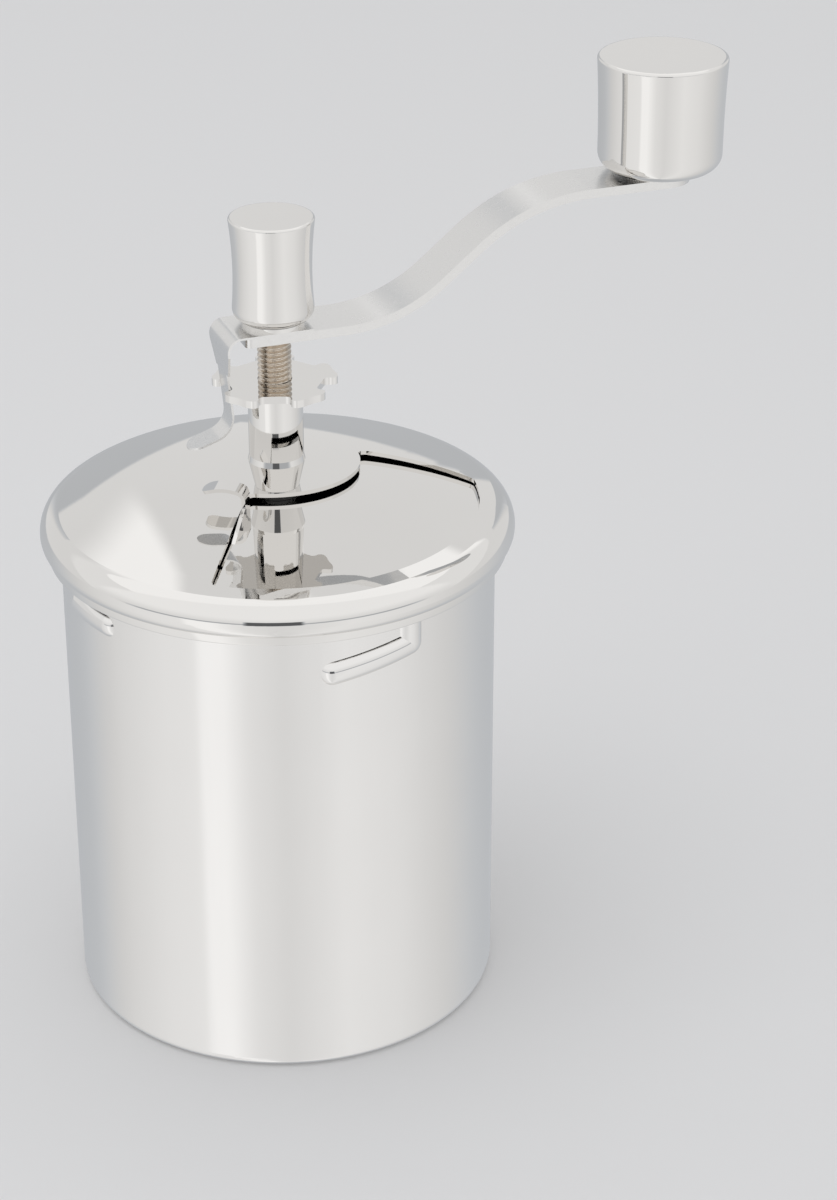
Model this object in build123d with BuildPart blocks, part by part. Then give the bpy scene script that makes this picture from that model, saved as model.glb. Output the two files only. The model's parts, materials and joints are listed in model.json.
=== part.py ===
from build123d import *
import os
from math import acos, atan, atan2, cos, degrees, radians, sin, sqrt

os.makedirs("parts", exist_ok=True)

# Hand crank coffee grinder in polished sheet steel, in millimetres.
# The origin is the centre of the canister's base, +Z is up and the spindle is the Z axis.
# Angles are in degrees, counter-clockwise from +X as seen from above. The front faces -Y.

# Canister, one deep-drawn cup
can_r = 52.0
can_h = 124.0
can_sheet = 0.8
can_corner_r = 2.5

# Slanted bayonet tracks and level beads, pressed out of the canister's wall in opposite pairs
track_height = 6.0
track_depth = 1.6
track_drop = 15.0
track_deg = -63.0
track_span_deg = 22.0
track_rise = 3.2
bead_height = 5.4
bead_depth = 1.4
bead_drop = 12.0
bead_deg = -145.0
bead_span_deg = 15.0

# Lid, a shallow dome with a rolled edge
lid_rise = 7.9
lid_overhang = 4.7
lid_sheet = 1.0
lid_dome_r = 300.0
lid_edge_r = 5.6
lid_curl_r = 3.2
lid_curl_deg = 50.0

# Fill opening in the lid: an arc outside, an arc inside, a straight left side and a bowed right side
fill_from_deg = -105.9
fill_to_deg = 13.0
fill_inner_r = 21.4
fill_inner_x = -1.9
fill_inner_y = 15.4
fill_inner_from_deg = -102.4
fill_inner_to_deg = 19.5
fill_bow = 1.7
fill_corner_r = 1.6
fill_rim_corner_r = 2.5

# Shutter under the lid, with a thumb tab bent up through the opening
shutter_sheet = 0.9
shutter_hub_gap = 1.1
shutter_rim_gap = 0.3
shutter_rim = 1.4
shutter_clear = 0.6
shutter_lap = 2.6
shutter_hub_r = 10.0
tab_along = 7.3
tab_w = 5.0
tab_round_r = 2.0
tab_clear = 0.4
tab_lift = 2.6
tab_bend_r = 2.0
tab_turn_deg = 73.0
tab_reach = 8.8
tab_arch_r = 11.4
tab_web = 16.0
tab_web_lift = 0.8

# Sealing ring on the canister's rim
seal_w = 1.4

# Hopper, a drawn funnel hanging under the lid
hopper_sheet = 0.7
hopper_skirt = 24.0
hopper_bend_r = 6.0
hopper_depth = 54.0
hopper_floor_r = 35.0
hopper_throat_r = 17.5

# Spindle and its threads
journal_r = 3.5
thread_r = 4.0
stud_r = 3.0
flat_half = 2.8
thread_start = 3.4
knob_stud = 16.0

# Bush in the lid, the grind adjuster above it and the pieces that clamp it
bush_spigot_r = 4.6
bush_foot_r = 5.3
bush_head_r = 6.8
bush_h = 6.7
bush_nut_af = 13.0
bush_nut_h = 4.0
pivot_spacer_r = 5.5
pivot_washer_r = 8.0
pivot_washer_t = 0.8
sleeve_r = 6.5
sleeve_h = 18.6
sleeve_foot_h = 1.4
star_r = 14.8
star_sheet = 1.8
star_notches = 5
star_notch_w = 7.4
star_notch_r = 11.2
star_dip_depth = 0.4
star_dip_r = 14.0
star_spigot_r = 5.2
star_corner_r = 1.3

# Crank arm, bent from one strip, and the thin spring finger that lies on it and locks the wheel
crank_deg = 20.5
crank_r = 97.0
arm_w = 14.6
arm_sheet = 2.2
arm_above_star = 11.3
arm_end = 8.9
arm_corner_r = 1.5
arm_flat = 15.5
arm_rise = 25.8
arm_slope_deg = 39.0
arm_lift_r = 38.0
arm_crest_r = 44.0
finger_sheet = 0.5
finger_reach = 7.5
finger_bend_s = 10.0
finger_bend_r = 3.2
finger_lean_deg = 6.0
finger_drop = 16.7
finger_shoulder = 1.8
finger_taper = 5.6
finger_step = 1.2
finger_w = 6.8
pull_r = 5.5
pull_turn_deg = 78.0
pull_len = 7.0

# Lock knob on the spindle
knob_washer_r = 7.4
knob_washer_t = 1.0
knob_h = 24.9
knob_top_r = 10.1
knob_waist_r = 9.2
knob_base_r = 9.9
knob_waist_share = 0.5
knob_round_r = 3.0
knob_edge_r = 0.6

# Handle knob at the end of the arm, on a riveted axle
handle_h = 27.3
handle_top_r = 15.5
handle_waist_r = 14.9
handle_base_r = 14.9
handle_waist_share = 0.45
handle_round_r = 4.0
handle_edge_r = 0.8
handle_washer_r = 8.0
handle_washer_t = 0.8
handle_bush_r = 6.0
handle_bush_h = 14.0
axle_r = 3.0
axle_head_r = 4.4
axle_head_h = 2.4
rivet_head_r = 4.4
rivet_head_h = 1.3
rivet_round_r = 0.9

# Conical burrs, the carrier under the hopper and the screws that clamp it
burr_drop = 18.0
burr_r = 21.0
burr_entry_r = 17.0
burr_neck_r = 14.0
burr_exit_r = 16.4
burr_fine_h = 8.0
burr_gap = 0.6
burr_nose_r = 7.4
burr_h = 14.0
burr_teeth = 20
burr_tooth = 1.3
burr_flutes = 6
burr_flute = 4.2
burr_skew_deg = 14.0
groove_over = 1.4
carrier_wall = 3.5
carrier_flange_r = 29.5
carrier_flange_t = 4.0
carrier_lip_t = 1.6
carrier_lip_w = 1.8
screw_circle_r = 25.0
screw_count = 3
screw_r = 1.5
screw_head_r = 2.8
screw_head_h = 2.2

# Bridge across the hopper's throat, with the lower bearing
bridge_foot_t = 2.5
bridge_arm_w = 6.0
bridge_arm_t = 5.0
bridge_boss_r = 5.0
bridge_hub_r = 8.5
bridge_hub_h = 11.0
lower_bush_r = 5.2
lower_flange_r = 7.4
lower_flange_t = 1.5
thrust_washer_t = 0.8

# Spring that keeps the grind adjuster seated, and the nut under the burr
spring_wire_r = 0.6
spring_r = 5.4
spring_turns = 4
spring_h = 13.0
spring_points = 160
spring_seat_t = 1.0
burr_washer_r = 7.0
burr_washer_t = 1.2
burr_nut_af = 10.0
burr_nut_h = 5.0
nut_stickout = 1.5

# Clearances
run_gap = 0.05
slip_gap = 0.3
track_gap = 0.4
hole_gap = 0.1

# The top's places, worked out from the canister's rim and wall
track_z = can_h - track_drop
bead_z = can_h - bead_drop
lid_top = can_h + lid_rise
lid_r = can_r + lid_overhang
hopper_r = can_r - can_sheet - slip_gap
hopper_skirt_z = can_h - hopper_skirt
hopper_floor_z = can_h - hopper_depth
shutter_r = hopper_r - hopper_sheet - shutter_clear
fill_outer_r = shutter_r - shutter_rim
burr_low = hopper_floor_z - burr_drop
burr_neck_z = burr_low + burr_fine_h
burr_high = burr_low + burr_h
dome_z = lid_top - lid_dome_r
edge_x = lid_r - lid_edge_r
edge_z = dome_z + sqrt((lid_dome_r - lid_edge_r) ** 2 - edge_x**2)
lid_bore_r = bush_spigot_r + run_gap


def lid_z(radius, depth=0.0):
    """Height of the dome, or of a surface that lies depth below it, at a radius."""
    return dome_z + sqrt((lid_dome_r - depth) ** 2 - radius**2)


# The shutter's dome runs through the gaps left under the lid at its hub and at its rim
shutter_hub_z = lid_z(shutter_hub_r, lid_sheet) - shutter_hub_gap
shutter_rim_z = lid_z(shutter_r, lid_sheet) - shutter_rim_gap
shutter_dome_z = (shutter_hub_z + shutter_rim_z) / 2
shutter_dome_z -= (shutter_r**2 - shutter_hub_r**2) / (2 * (shutter_hub_z - shutter_rim_z))
shutter_dome_r = sqrt(shutter_hub_r**2 + (shutter_hub_z - shutter_dome_z) ** 2)


def shutter_z(radius, depth=0.0):
    """Height of the shutter's upper face, or of a surface that lies depth below it, at a radius."""
    return shutter_dome_z + sqrt((shutter_dome_r - depth) ** 2 - radius**2)


# Levels along the spindle, each worked out from the piece below it
bush_seat_z = lid_z(lid_bore_r)
bush_top_z = bush_seat_z + bush_h
star_low_z = bush_top_z + sleeve_h
star_top_z = star_low_z + star_sheet
arm_low_z = star_top_z + arm_above_star
arm_top_z = arm_low_z + arm_sheet
finger_top_z = arm_top_z + finger_sheet
knob_low_z = finger_top_z + knob_washer_t
knob_top_z = knob_low_z + knob_h
handle_arm_z = arm_top_z + arm_rise
handle_low_z = handle_arm_z + handle_washer_t + run_gap
handle_top_z = handle_low_z + handle_h
washer_top_z = shutter_z(pivot_washer_r, shutter_sheet) - run_gap
bush_nut_z = washer_top_z - pivot_washer_t
spring_low_z = burr_high + spring_seat_t
spring_top_z = spring_low_z + spring_h
lower_bush_z = spring_top_z + thrust_washer_t
hub_low_z = lower_bush_z + lower_flange_t
carrier_top_z = hopper_floor_z - hopper_sheet
burr_nut_z = burr_low - burr_washer_t - burr_nut_h

hopper_top_z = lid_z(hopper_r, lid_sheet)
thread_low = bush_top_z + thread_start
seal_r = can_r - can_sheet + seal_w
seal_top_z = edge_z + sqrt((lid_edge_r - lid_sheet) ** 2 - (seal_r - edge_x) ** 2) - slip_gap

# Planes that the crank's pieces are drawn on
crank_x = cos(radians(crank_deg))
crank_y = sin(radians(crank_deg))
arm_side = Plane((0, 0, 0), x_dir=(crank_x, crank_y, 0), z_dir=(crank_y, -crank_x, 0))
arm_front = Plane((0, 0, 0), x_dir=(-crank_y, crank_x, 0), z_dir=(crank_x, crank_y, 0))
handle_x = crank_r * crank_x
handle_y = crank_r * crank_y


def level(height):
    """Horizontal plane on the spindle's axis, turned with the crank."""
    return Plane((0, 0, height), x_dir=(crank_x, crank_y, 0))


def handle_level(height):
    """Horizontal plane on the handle's axis, turned with the crank."""
    return Plane((handle_x, handle_y, height), x_dir=(crank_x, crank_y, 0))


def ring(base, outer_r, inner_r, height):
    """A plain ring that stands on a plane."""
    with BuildSketch(base) as section:
        Circle(outer_r)
        Circle(inner_r, mode=Mode.SUBTRACT)
    extrude(section.sketch, amount=height)


def hex_nut(base, across_flats, bore_r, height):
    """A hexagonal nut that stands on a plane."""
    with BuildSketch(base) as section:
        RegularPolygon(across_flats / 2, side_count=6, major_radius=False)
        Circle(bore_r, mode=Mode.SUBTRACT)
    extrude(section.sketch, amount=height)


def flats(base, height, round_r, half):
    """A round hole with two flats, cut up from a plane."""
    with BuildSketch(base) as section:
        Circle(round_r)
        Rectangle(2 * round_r, 2 * half, mode=Mode.INTERSECT)
    extrude(section.sketch, amount=height, mode=Mode.SUBTRACT)


def tube_radius(height, depth):
    """Radius of a round bead of a given height and depth on a flat wall."""
    return (height**2 / 4 + depth**2) / (2 * depth)


def bead_ring(mid_deg, mid_z, tilt):
    """Plane of a bead's ring: X points out at its middle, and it climbs counter-clockwise."""
    out = Vector(cos(radians(mid_deg)), sin(radians(mid_deg)), 0)
    along = Vector(-out.Y, out.X, 0)
    axis = Vector(0, 0, 1) * cos(radians(tilt)) - along * sin(radians(tilt))
    return Plane((0, 0, mid_z), x_dir=out, z_dir=axis)


def on_ring(ring_plane, ring_r, turn):
    """Place on a bead's ring, turned from its middle."""
    return ring_plane.location * Rot(0, 0, turn) * Pos(ring_r, 0, 0)


def bead(ring_plane, ring_r, tube_r, span, mode):
    """A round bead along part of a ring, with ball ends."""
    start = Plane(ring_plane.location * Rot(0, 0, -span / 2))
    with BuildSketch(Plane(start.origin, x_dir=start.x_dir, z_dir=-start.y_dir)) as section:
        with Locations((ring_r, 0)):
            Circle(tube_r)
    revolve(section.sketch, Axis(ring_plane.origin, ring_plane.z_dir), span, mode=mode)
    for turn in (-span / 2, span / 2):
        with Locations(on_ring(ring_plane, ring_r, turn)):
            Sphere(tube_r, mode=mode)


track_tube_r = tube_radius(track_height, track_depth)
track_ring_r = can_r + track_depth - track_tube_r
track_tilt = degrees(atan(track_rise / (2 * track_ring_r * sin(radians(track_span_deg / 2)))))
track_rings = [bead_ring(track_deg + turn, track_z, track_tilt) for turn in (0, 180)]
bead_tube_r = tube_radius(bead_height, bead_depth)
bead_ring_r = can_r + bead_depth - bead_tube_r
bead_rings = [bead_ring(bead_deg + turn, bead_z, 0) for turn in (0, 180)]


def wall_beads(inset, mode):
    """The tracks, the ways into them from the rim and the level beads, inset by the sheet."""
    for plane in track_rings:
        bead(plane, track_ring_r, track_tube_r - inset, track_span_deg, mode)
        mouth = on_ring(plane, track_ring_r, track_span_deg / 2).position
        with Locations(mouth):
            Cylinder(
                track_tube_r - inset,
                can_h - mouth.Z,
                align=(Align.CENTER, Align.CENTER, Align.MIN),
                mode=mode,
            )
    for plane in bead_rings:
        bead(plane, bead_ring_r, bead_tube_r - inset, bead_span_deg, mode)


# Canister
with BuildPart() as canister:
    Cylinder(can_r, can_h, align=(Align.CENTER, Align.CENTER, Align.MIN))
    fillet(canister.edges().sort_by(Axis.Z)[0], radius=can_corner_r)
    wall_beads(0, Mode.ADD)
    with BuildSketch(Plane.XZ) as can_inside:
        with Locations((0, can_sheet)):
            Rectangle(can_r - can_sheet, can_h, align=Align.MIN)
        fillet(
            can_inside.vertices().group_by(Axis.Y)[0].sort_by(Axis.X)[-1],
            radius=can_corner_r - can_sheet,
        )
    revolve(axis=Axis.Z, mode=Mode.SUBTRACT)
    wall_beads(can_sheet, Mode.SUBTRACT)
canister.part.label = "canister"
export_step(canister.part, "parts/canister.step")

# Sealing ring
with BuildPart() as lid_seal:
    ring(Plane.XY.offset(can_h), seal_r, can_r - can_sheet, seal_top_z - can_h)
lid_seal.part.label = "lid_seal"
export_step(lid_seal.part, "parts/lid_seal.step")

# Outline of the fill opening, seen from above
with BuildSketch() as fill_outline:
    with BuildLine():
        inner_side = CenterArc(
            (fill_inner_x, fill_inner_y),
            fill_inner_r,
            fill_inner_from_deg,
            fill_inner_to_deg - fill_inner_from_deg,
        )
        outer_side = CenterArc((0, 0), fill_outer_r, fill_from_deg, fill_to_deg - fill_from_deg)
        left_side = Line(inner_side @ 0, outer_side @ 0)
        SagittaArc(inner_side @ 1, outer_side @ 1, fill_bow)
    make_face()
    fillet(fill_outline.vertices().sort_by_distance(outer_side @ 1)[1:], radius=fill_corner_r)
    fillet(fill_outline.vertices().sort_by_distance(outer_side @ 1)[0], radius=fill_rim_corner_r)

# Lid
crown_deg = degrees(atan2(edge_z - dome_z, edge_x))
lid_mid_r = lid_dome_r - lid_sheet / 2
lid_bore_deg = degrees(acos(lid_bore_r / lid_mid_r))
with BuildPart() as lid:
    with BuildSketch(Plane.XZ):
        with BuildLine():
            CenterArc((0, dome_z), lid_mid_r, crown_deg, lid_bore_deg - crown_deg)
            CenterArc((edge_x, edge_z), lid_edge_r - lid_sheet / 2, 0, crown_deg)
            CenterArc((lid_r - lid_curl_r, edge_z), lid_curl_r - lid_sheet / 2, -lid_curl_deg, lid_curl_deg)
        trace(line_width=lid_sheet)
    revolve(axis=Axis.Z)
    with BuildSketch(Plane.XY.offset(edge_z)):
        add(fill_outline.sketch)
    extrude(amount=lid_top - edge_z, mode=Mode.SUBTRACT)
lid.part.label = "lid"
export_step(lid.part, "parts/lid.step")

# Round lugs for the tracks, cut off halfway into the hopper's sheet
lug_r = track_tube_r - can_sheet - track_gap
lug_places = [on_ring(plane, track_ring_r, -track_span_deg / 2) for plane in track_rings]
with BuildPart() as hopper_lugs:
    with Locations(lug_places):
        Sphere(lug_r)
    Cylinder(hopper_r - hopper_sheet / 2, 2 * hopper_top_z, mode=Mode.SUBTRACT)

# Hopper, with a hollow lug for each track
with BuildPart() as hopper:
    with BuildSketch(Plane.XZ):
        with BuildLine():
            FilletPolyline(
                (hopper_r - hopper_sheet / 2, hopper_top_z),
                (hopper_r - hopper_sheet / 2, hopper_skirt_z),
                (hopper_floor_r, hopper_floor_z - hopper_sheet / 2),
                (hopper_throat_r, hopper_floor_z - hopper_sheet / 2),
                radius=hopper_bend_r,
            )
        trace(line_width=hopper_sheet)
    revolve(axis=Axis.Z)
    add(hopper_lugs.part)
    with Locations(lug_places):
        Sphere(lug_r - hopper_sheet, mode=Mode.SUBTRACT)
    with BuildSketch(Plane.XY.offset(carrier_top_z)):
        with PolarLocations(screw_circle_r, screw_count):
            Circle(screw_r + hole_gap)
    extrude(amount=hopper_sheet, mode=Mode.SUBTRACT)
hopper.part.label = "hopper"
export_step(hopper.part, "parts/hopper.step")

# Shutter, with its thumb tab bent up beside the opening's left side
shutter_bore_r = bush_spigot_r + run_gap
shutter_mid = shutter_dome_r - shutter_sheet / 2
shutter_from = degrees(acos(shutter_r / shutter_mid))
shutter_to = degrees(acos(shutter_bore_r / shutter_mid))
tab_out = (left_side % 1).rotate(Axis.Z, -90)
tab_foot = left_side @ 0 + (left_side % 0) * tab_along - tab_out * (tab_clear + shutter_sheet / 2)
tab_foot_r = Vector(tab_foot.X, tab_foot.Y, 0).length
tab_plane = Plane((tab_foot.X, tab_foot.Y, 0), x_dir=tab_out, z_dir=tab_out.rotate(Axis.Z, -90))
tab_foot_z = shutter_z(tab_foot_r, shutter_sheet / 2)
web_end = tab_foot + (left_side % 0) * tab_web
web_end_z = shutter_z(Vector(web_end.X, web_end.Y, 0).length, shutter_sheet / 2)
web_plane = Plane((tab_foot.X, tab_foot.Y, 0), x_dir=left_side % 0, z_dir=tab_out)
with BuildPart() as shutter:
    with BuildSketch(Plane.XZ):
        with BuildLine():
            CenterArc((0, shutter_dome_z), shutter_mid, shutter_from, shutter_to - shutter_from)
        trace(line_width=shutter_sheet)
    revolve(axis=Axis.Z)
    with BuildSketch(Plane.XY.offset(edge_z)):
        add(fill_outline.sketch)
        offset(amount=shutter_lap)
        Circle(shutter_hub_r)
    extrude(amount=lid_top - edge_z, mode=Mode.INTERSECT)
    with BuildSketch(tab_plane):
        with BuildLine():
            riser = Line((0, tab_foot_z), (0, lid_z(tab_foot_r) + tab_lift))
            curl = JernArc(riser @ 1, riser % 1, tab_bend_r, -tab_turn_deg)
            JernArc(curl @ 1, curl % 1, tab_arch_r, -degrees(tab_reach / tab_arch_r))
        trace(line_width=shutter_sheet)
    extrude(amount=tab_w / 2, both=True)
    with BuildSketch(web_plane):
        with BuildLine():
            Polyline(
                (0, tab_foot_z),
                (tab_web, web_end_z),
                (tab_w / 2, lid_z(tab_foot_r) + tab_web_lift),
                (0, lid_z(tab_foot_r) + tab_web_lift),
                close=True,
            )
        make_face()
    extrude(amount=shutter_sheet / 2, both=True)
    tab_tip = shutter.edges().filter_by(lambda edge: edge.center().Z > lid_top)
    tab_tip = tab_tip.sort_by(lambda edge: (edge.center() - tab_foot).dot(tab_out))
    fillet([edge for edge in tab_tip[-4:] if edge.length < 2 * shutter_sheet], radius=tab_round_r)
shutter.part.label = "shutter"
export_step(shutter.part, "parts/shutter.step")

# Spacer and washer that the shutter turns between
with BuildPart() as pivot_spacer:
    spacer_low_z = shutter_z(shutter_bore_r) + run_gap
    spacer_top_z = lid_z(pivot_spacer_r, lid_sheet)
    ring(Plane.XY.offset(spacer_low_z), pivot_spacer_r, lid_bore_r, spacer_top_z - spacer_low_z)
pivot_spacer.part.label = "pivot_spacer"
export_step(pivot_spacer.part, "parts/pivot_spacer.step")

with BuildPart() as pivot_washer:
    ring(Plane.XY.offset(bush_nut_z), pivot_washer_r, lid_bore_r, pivot_washer_t)
pivot_washer.part.label = "pivot_washer"
export_step(pivot_washer.part, "parts/pivot_washer.step")

with BuildPart() as bush_nut:
    hex_nut(Plane.XY.offset(bush_nut_z - bush_nut_h), bush_nut_af, bush_spigot_r, bush_nut_h)
bush_nut.part.label = "bush_nut"
export_step(bush_nut.part, "parts/bush_nut.step")

# Bush in the lid
with BuildPart() as lid_bush:
    with BuildSketch(Plane.XZ):
        with BuildLine():
            Polyline(
                (journal_r + run_gap, bush_nut_z - bush_nut_h),
                (bush_spigot_r, bush_nut_z - bush_nut_h),
                (bush_spigot_r, bush_seat_z),
                (bush_foot_r, bush_seat_z),
                (bush_head_r, bush_top_z),
                (journal_r + run_gap, bush_top_z),
                close=True,
            )
        make_face()
    revolve(axis=Axis.Z)
lid_bush.part.label = "lid_bush"
export_step(lid_bush.part, "parts/lid_bush.step")

# Grind adjuster: a sleeve nut and the notched wheel riveted to it
with BuildPart() as adjuster_sleeve:
    with BuildSketch(Plane.XZ):
        with BuildLine():
            Polyline(
                (thread_r + run_gap, bush_top_z),
                (bush_head_r, bush_top_z),
                (sleeve_r, bush_top_z + sleeve_foot_h),
                (sleeve_r, star_low_z),
                (star_spigot_r, star_low_z),
                (star_spigot_r, star_top_z),
                (thread_r + run_gap, star_top_z),
                close=True,
            )
        make_face()
    revolve(axis=Axis.Z)
adjuster_sleeve.part.label = "adjuster_sleeve"
export_step(adjuster_sleeve.part, "parts/adjuster_sleeve.step")

with BuildPart() as star_wheel:
    notch_step = 360 / star_notches
    with BuildSketch(level(star_low_z)) as star_outline:
        Circle(star_r)
        with PolarLocations(star_r + star_dip_r - star_dip_depth, star_notches, 180 + notch_step / 2):
            Circle(star_dip_r, mode=Mode.SUBTRACT)
        with PolarLocations(star_notch_r, star_notches, 180):
            Rectangle(
                star_r,
                star_notch_w,
                align=(Align.MIN, Align.CENTER),
                mode=Mode.SUBTRACT,
            )
        fillet(star_outline.vertices(), radius=star_corner_r)
        Circle(star_spigot_r, mode=Mode.SUBTRACT)
    extrude(amount=star_sheet)
star_wheel.part.label = "star_wheel"
export_step(star_wheel.part, "parts/star_wheel.step")

# Spindle: burr stud and flats, journal, adjusting thread, crank flats and knob stud
with BuildPart() as spindle:
    with BuildSketch(Plane.XZ):
        with BuildLine():
            Polyline(
                (0, burr_nut_z - nut_stickout),
                (stud_r, burr_nut_z - nut_stickout),
                (stud_r, burr_low),
                (journal_r, burr_low),
                (journal_r, thread_low),
                (thread_r, thread_low),
                (thread_r, arm_low_z),
                (journal_r, arm_low_z),
                (journal_r, finger_top_z),
                (stud_r, finger_top_z),
                (stud_r, knob_low_z + knob_stud),
                (0, knob_low_z + knob_stud),
                close=True,
            )
        make_face()
    revolve(axis=Axis.Z)
    for seat_z, seat_h in ((burr_low, burr_high - burr_low), (arm_low_z, finger_top_z - arm_low_z)):
        with BuildSketch(level(seat_z)):
            Circle(thread_r)
            Rectangle(2 * thread_r, 2 * flat_half, mode=Mode.SUBTRACT)
        extrude(amount=seat_h, mode=Mode.SUBTRACT)
spindle.part.label = "spindle"
export_step(spindle.part, "parts/spindle.step")

# Crank arm: hub flat, rising S and handle end
arm_mid_z = arm_low_z + arm_sheet / 2
arm_straight = arm_rise - (arm_lift_r + arm_crest_r) * (1 - cos(radians(arm_slope_deg)))
arm_straight = arm_straight / sin(radians(arm_slope_deg))
with BuildPart() as crank_arm:
    with BuildSketch(arm_side):
        with BuildLine():
            hub_flat = Line((-arm_end, arm_mid_z), (arm_flat, arm_mid_z))
            lift = JernArc(hub_flat @ 1, hub_flat % 1, arm_lift_r, arm_slope_deg)
            slope = Line(lift @ 1, lift @ 1 + (lift % 1) * arm_straight)
            crest = JernArc(slope @ 1, slope % 1, arm_crest_r, -arm_slope_deg)
            Line(crest @ 1, (crank_r + arm_w / 2, arm_mid_z + arm_rise))
        trace(line_width=arm_sheet)
    extrude(amount=arm_w / 2, both=True)
    with BuildSketch(level(0)) as arm_plan:
        with Locations((-arm_end, 0)):
            Rectangle(crank_r + arm_end, arm_w, align=(Align.MIN, Align.CENTER))
        fillet(arm_plan.vertices().group_by(Axis.X)[0], radius=arm_corner_r)
        with Locations((crank_r, 0)):
            Circle(arm_w / 2)
    extrude(amount=handle_top_z, mode=Mode.INTERSECT)
    flats(level(arm_low_z), arm_sheet, journal_r + run_gap, flat_half + run_gap)
    with BuildSketch(handle_level(handle_arm_z - arm_sheet)):
        Circle(axle_r)
    extrude(amount=arm_sheet, mode=Mode.SUBTRACT)
crank_arm.part.label = "crank_arm"
export_step(crank_arm.part, "parts/crank_arm.step")

# Spring finger: flat on the arm, bent down through a notch of the wheel, with a curled pull
finger_mid_z = arm_top_z + finger_sheet / 2
neck_z = arm_low_z - finger_shoulder - finger_taper
with BuildPart() as lock_finger:
    with BuildSketch(arm_side):
        with BuildLine():
            on_arm = Line((finger_reach, finger_mid_z), (-finger_bend_s, finger_mid_z))
            bend = JernArc(on_arm @ 1, on_arm % 1, finger_bend_r, 90 + finger_lean_deg)
            drop = Line(bend @ 1, bend @ 1 + (bend % 1) * finger_drop)
            pull_arc = JernArc(drop @ 1, drop % 1, pull_r, -pull_turn_deg)
            pull = Line(pull_arc @ 1, pull_arc @ 1 + (pull_arc % 1) * pull_len)
        trace(line_width=finger_sheet)
    extrude(amount=arm_w / 2, both=True)
    with BuildSketch(level(0)):
        with Locations(((pull @ 1).X + finger_w / 2, 0)):
            Circle(finger_w / 2)
            Rectangle(pull_len + pull_r, finger_w, align=(Align.MIN, Align.CENTER))
        with Locations((-finger_bend_s - finger_bend_r - finger_sheet, 0)):
            Rectangle(
                finger_bend_s + finger_bend_r + finger_sheet + finger_reach,
                arm_w,
                align=(Align.MIN, Align.CENTER),
            )
    extrude(amount=finger_top_z, mode=Mode.INTERSECT)
    with BuildSketch(arm_front):
        with BuildLine():
            Polyline(
                (finger_w / 2, 0),
                (finger_w / 2, neck_z),
                (finger_w / 2 + finger_step, neck_z),
                (arm_w / 2, neck_z + finger_taper),
                (arm_w, neck_z + finger_taper),
                (arm_w, 0),
                close=True,
            )
        make_face()
        mirror(about=Plane.YZ)
    finger_span = finger_bend_s + pull_r + pull_len + finger_w
    extrude(amount=finger_span, dir=(-crank_x, -crank_y, 0), mode=Mode.SUBTRACT)
    flats(level(arm_top_z), finger_sheet, journal_r + run_gap, flat_half + run_gap)
lock_finger.part.label = "lock_finger"
export_step(lock_finger.part, "parts/lock_finger.step")

# Lock knob, screwed down on a washer
with BuildPart() as knob_washer:
    ring(Plane.XY.offset(finger_top_z), knob_washer_r, stud_r + hole_gap, knob_washer_t)
knob_washer.part.label = "knob_washer"
export_step(knob_washer.part, "parts/knob_washer.step")

with BuildPart() as lock_knob:
    with BuildSketch(Plane.XZ) as knob_section:
        with BuildLine():
            knob_side = ThreePointArc(
                (knob_base_r, knob_low_z),
                (knob_waist_r, knob_low_z + knob_h * knob_waist_share),
                (knob_top_r, knob_top_z),
            )
            Polyline(
                knob_side @ 1,
                (0, knob_top_z),
                (0, knob_low_z + knob_stud + hole_gap),
                (stud_r, knob_low_z + knob_stud + hole_gap),
                (stud_r, knob_low_z),
                knob_side @ 0,
            )
        make_face()
        fillet(knob_section.vertices().sort_by_distance((knob_base_r, knob_low_z))[0], radius=knob_round_r)
        fillet(knob_section.vertices().sort_by_distance((knob_top_r, knob_top_z))[0], radius=knob_edge_r)
    revolve(axis=Axis.Z)
lock_knob.part.label = "lock_knob"
export_step(lock_knob.part, "parts/lock_knob.step")

# Handle: axle riveted into the arm, washer, bush pressed into the knob, and the knob
with BuildPart() as handle_axle:
    bush_top = handle_low_z + handle_bush_h + slip_gap
    rivet_z = handle_arm_z - arm_sheet - rivet_head_h
    with BuildSketch(handle_level(rivet_z)):
        Circle(rivet_head_r)
    extrude(amount=rivet_head_h)
    fillet(handle_axle.edges().sort_by(Axis.Z)[0], radius=rivet_round_r)
    with BuildSketch(handle_level(handle_arm_z - arm_sheet)):
        Circle(axle_r)
    extrude(amount=bush_top - handle_arm_z + arm_sheet)
    with BuildSketch(handle_level(bush_top)):
        Circle(axle_head_r)
    extrude(amount=axle_head_h)
handle_axle.part.label = "handle_axle"
export_step(handle_axle.part, "parts/handle_axle.step")

with BuildPart() as handle_washer:
    ring(handle_level(handle_arm_z), handle_washer_r, axle_r + hole_gap, handle_washer_t)
handle_washer.part.label = "handle_washer"
export_step(handle_washer.part, "parts/handle_washer.step")

with BuildPart() as handle_bush:
    ring(handle_level(handle_low_z), handle_bush_r, axle_r + run_gap, handle_bush_h)
handle_bush.part.label = "handle_bush"
export_step(handle_bush.part, "parts/handle_bush.step")

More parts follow.
